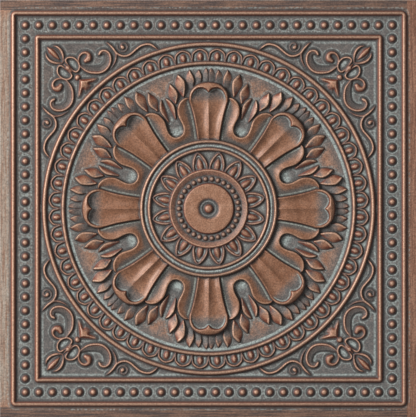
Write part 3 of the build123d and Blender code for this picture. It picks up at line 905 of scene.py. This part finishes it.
class Nodes:
    """Short calls that add the nodes of one material."""

    def __init__(self, name):
        self.material = bpy.data.materials.new(name)
        self.material.use_nodes = True
        self.tree = self.material.node_tree
        self.shader = self.tree.nodes["Principled BSDF"]

    def set(self, socket, value):
        """Links another node's output to a socket, or sets the socket's own value."""
        if isinstance(value, bpy.types.NodeSocket):
            self.tree.links.new(value, socket)
        else:
            socket.default_value = value

    def attribute(self, name):
        """The value of one of the mesh's maps."""
        node = self.tree.nodes.new("ShaderNodeAttribute")
        node.attribute_name = name
        return node.outputs["Fac"]

    def place(self, scale=(1.0, 1.0, 1.0)):
        """The place on the tile in metres, stretched along its axes."""
        source = self.tree.nodes.new("ShaderNodeTexCoord")
        mapping = self.tree.nodes.new("ShaderNodeMapping")
        mapping.inputs["Scale"].default_value = scale
        self.tree.links.new(source.outputs["Object"], mapping.inputs["Vector"])
        return mapping.outputs["Vector"]

    def coordinates(self):
        """The place on the tile along x and along y, in metres."""
        source = self.tree.nodes.new("ShaderNodeTexCoord")
        split = self.tree.nodes.new("ShaderNodeSeparateXYZ")
        self.tree.links.new(source.outputs["Object"], split.inputs["Vector"])
        return split.outputs["X"], split.outputs["Y"]

    def noise(self, vector, scale, detail, roughness):
        """A cloudy pattern between 0 and 1, finer for a larger scale."""
        node = self.tree.nodes.new("ShaderNodeTexNoise")
        self.set(node.inputs["Vector"], vector)
        node.inputs["Scale"].default_value = scale
        node.inputs["Detail"].default_value = detail
        node.inputs["Roughness"].default_value = roughness
        return node.outputs["Fac"]

    def math(self, operation, first, second=0.0):
        """The result of one operation on two numbers."""
        node = self.tree.nodes.new("ShaderNodeMath")
        node.operation = operation
        self.set(node.inputs[0], first)
        self.set(node.inputs[1], second)
        return node.outputs[0]

    def times(self, first, second):
        """The product of two numbers."""
        return self.math("MULTIPLY", first, second)

    def ramp(self, value, low, high, new_low=0.0, new_high=1.0):
        """A smooth change from one new value to the other while the given one goes from low to high."""
        node = self.tree.nodes.new("ShaderNodeMapRange")
        node.interpolation_type = "SMOOTHSTEP"
        self.set(node.inputs["Value"], value)
        node.inputs["From Min"].default_value = low
        node.inputs["From Max"].default_value = high
        node.inputs["To Min"].default_value = new_low
        node.inputs["To Max"].default_value = new_high
        return node.outputs["Result"]

    def mix(self, share, first, second, blend_type="MIX"):
        """The first colour with a share of the second laid over it."""
        node = self.tree.nodes.new("ShaderNodeMix")
        node.data_type = "RGBA"
        node.blend_type = blend_type
        self.set(node.inputs["Factor"], share)
        self.set(node.inputs["A"], first)
        self.set(node.inputs["B"], second)
        return node.outputs["Result"]


def patina_material():
    """Copper-coloured paint on satin PVC, bright on the crests with a painted highlight, with grey and
    verdigris in the hollows, and painted light and shade on the flange.
    """
    nodes = Nodes("antique_copper_paint")
    noise = nodes.noise
    attribute = nodes.attribute
    ramp = nodes.ramp
    mix = nodes.mix
    times = nodes.times
    place = nodes.place()
    grain = noise(place, 520.0, 3.0, 0.7)
    speckle = noise(place, 330.0, 2.0, 0.6)
    mottle = noise(place, 110.0, 4.0, 0.6)
    cloud = noise(place, 18.0, 3.0, 0.5)
    streaks_along_y = noise(nodes.place((1.0, 0.05, 1.0)), 420.0, 3.0, 0.6)
    streaks_along_x = noise(nodes.place((0.05, 1.0, 1.0)), 420.0, 3.0, 0.6)
    bloom = attribute("bloom")
    x, y = nodes.coordinates()
    to_lower_right = nodes.math("SUBTRACT", x, y)
    off_middle = nodes.math("ABSOLUTE", y)

    # Grey-brown field, paler to the lower right, and copper wherever it is polished
    field = mix(ramp(mottle, 0.35, 0.65), *field_paint)
    field = mix(ramp(cloud, 0.48, 0.72, 0.0, 0.5), field, field_warm_cloud)
    field = mix(ramp(to_lower_right, -0.4, 0.25, 0.0, 0.45), field, field_pale_side)
    copper = mix(ramp(mottle, 0.35, 0.68), *copper_paint)
    copper = mix(ramp(cloud, 0.4, 0.65, 0.0, 0.5), copper, copper_cloud)
    worn_polish = nodes.math("ADD", attribute("polish"), times(nodes.math("SUBTRACT", grain, 0.5), 0.7))
    colour = mix(ramp(worn_polish, 0.05, 0.9), field, copper)

    # The flange is streaked along its length and greyer above and below; its pale left side is partly
    # painted light and its red right side partly painted shade
    left = mix(ramp(streaks_along_y, 0.38, 0.62), *left_flange_streaks_and_painted_light)
    right = mix(ramp(streaks_along_y, 0.38, 0.62), *right_flange_streaks_and_painted_shade)
    ends = mix(ramp(streaks_along_x, 0.38, 0.62), *end_flange_paint)
    colour = mix(ramp(off_middle, flange_edge, flange_edge + flange_fade), colour, ends)
    on_left = ramp(x, -flange_edge, -flange_edge - flange_fade)
    on_left = times(on_left, ramp(off_middle, *left_flange_end[::-1]))
    colour = mix(on_left, colour, left)
    colour = mix(ramp(x, flange_edge, flange_edge + flange_fade), colour, right)

    # Verdigris: a fringe round the raised forms, the blooms in the hollows and the pale line
    verdigris = times(attribute("fringe"), ramp(speckle, 0.42, 0.6, 0.05, 0.8))
    verdigris = times(verdigris, ramp(cloud, 0.35, 0.65, 0.3, 1.0))
    laid = times(ramp(bloom, 0.1, 0.8), ramp(speckle, 0.36, 0.56, 0.4, 1.0))
    laid = times(laid, ramp(to_lower_right, -0.3, 0.3, 0.8, 1.4))
    pale_line = times(ramp(x, *pale_line_left), ramp(x, *pale_line_right[::-1]))
    pale_line = times(pale_line, ramp(off_middle, *pale_line_ends[::-1]))
    pale_line = times(pale_line, ramp(speckle, 0.36, 0.56, 0.3, 0.7))
    laid = nodes.math("MAXIMUM", laid, pale_line)
    colour = mix(nodes.math("MAXIMUM", verdigris, laid), colour, pale_verdigris)

    # Rusty flanks, crests rubbed bright with a painted highlight, dark hollows, stains with painted shade
    # on beads that run from left to right, and the plain back
    colour = mix(ramp(attribute("slope"), 0.3, 0.8, 0.0, 0.9), colour, rusty_flank)
    colour = mix(ramp(attribute("crest"), 0.55, 1.5), colour, crest_rub_and_painted_highlight)
    foot = times(attribute("foot"), ramp(bloom, 0.6, 0.2))
    crevice = ramp(attribute("crevice"), 0.05, 0.5, 0.0, 0.8)
    colour = mix(nodes.math("MAXIMUM", crevice, times(foot, 0.75)), colour, dark_crevice)
    colour = mix(times(attribute("stain_and_painted_shade"), 0.95), colour, dark_stain_and_painted_shade)
    colour = mix(attribute("back"), colour, bare_back)

    # A fine speckle over all of it, duller on the petals
    speck = ramp(grain, 0.3, 0.7)
    shade = mix(speck, *plain_speckle)
    shade = mix(attribute("petals"), shade, mix(speck, *petal_speckle))
    nodes.set(nodes.shader.inputs["Base Color"], mix(1.0, colour, shade, "MULTIPLY"))
    rough = nodes.math("ADD", ramp(worn_polish, 0.0, 1.0, 0.62, 0.42), times(grain, 0.1))
    nodes.set(nodes.shader.inputs["Roughness"], rough)
    nodes.set(nodes.shader.inputs["Metallic"], ramp(worn_polish, 0.2, 1.0, 0.0, 0.12))
    bump = nodes.tree.nodes.new("ShaderNodeBump")
    bump.inputs["Strength"].default_value = 0.45
    bump.inputs["Distance"].default_value = 0.0004
    nodes.set(bump.inputs["Height"], nodes.math("ADD", grain, mottle))
    nodes.set(nodes.shader.inputs["Normal"], bump.outputs["Normal"])
    return nodes.material


def plain_material(name, colour, roughness):
    """A material of one colour."""
    nodes = Nodes(name)
    nodes.shader.inputs["Base Color"].default_value = colour
    nodes.shader.inputs["Roughness"].default_value = roughness
    return nodes.material


def add_piece(name, mesh, material):
    """Adds a mesh with its material to the scene."""
    mesh.materials.append(material)
    return add_object(name, mesh)


def add_area_light(name, place, size, power):
    """Adds a square soft light that shines at the middle of the tile."""
    light = bpy.data.lights.new(name, "AREA")
    light.size = size
    light.energy = power
    lamp = add_object(name, light)
    lamp.location = place
    lamp.rotation_euler = (-mathutils.Vector(place)).to_track_quat("-Z", "Y").to_euler()


sheet = add_piece("ceiling_tile_sheet", sheet_mesh(), patina_material())
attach(sheet, "root")
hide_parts("moulded_sheet")

# Floor, light and camera, in metres. The camera hangs high, so that perspective hardly shows
floor_half = 4.0
key_place = (-3.5, 1.56, 2.88)
key_size = 1.6
key_power = 302.0
world_strength = 0.34
camera_place = (-0.0009, 0.0002, 6.0)
view_width = 0.601
sensor_width = 36.0

floor_points = floor_half * np.array([(-1, -1, 0), (1, -1, 0), (1, 1, 0), (-1, 1, 0)])
floor = add_piece("studio_floor", new_mesh("studio_floor", floor_points, np.array([(0, 1, 2, 3)])),
                  plain_material("pale_floor", linear(226, 224, 220), 0.8))

add_area_light("key", key_place, key_size, key_power)
world = bpy.data.worlds.new("studio")
world.use_nodes = True
background = world.node_tree.nodes["Background"]
background.inputs["Color"].default_value = (1.0, 1.0, 1.0, 1.0)
background.inputs["Strength"].default_value = world_strength
bpy.context.scene.world = world

lens = bpy.data.cameras.new("camera")
lens.sensor_fit = "HORIZONTAL"
lens.sensor_width = sensor_width
lens.lens = sensor_width * camera_place[2] / view_width
camera = add_object("camera", lens)
camera.location = camera_place
bpy.context.scene.camera = camera
bpy.context.scene.view_settings.view_transform = "Standard"
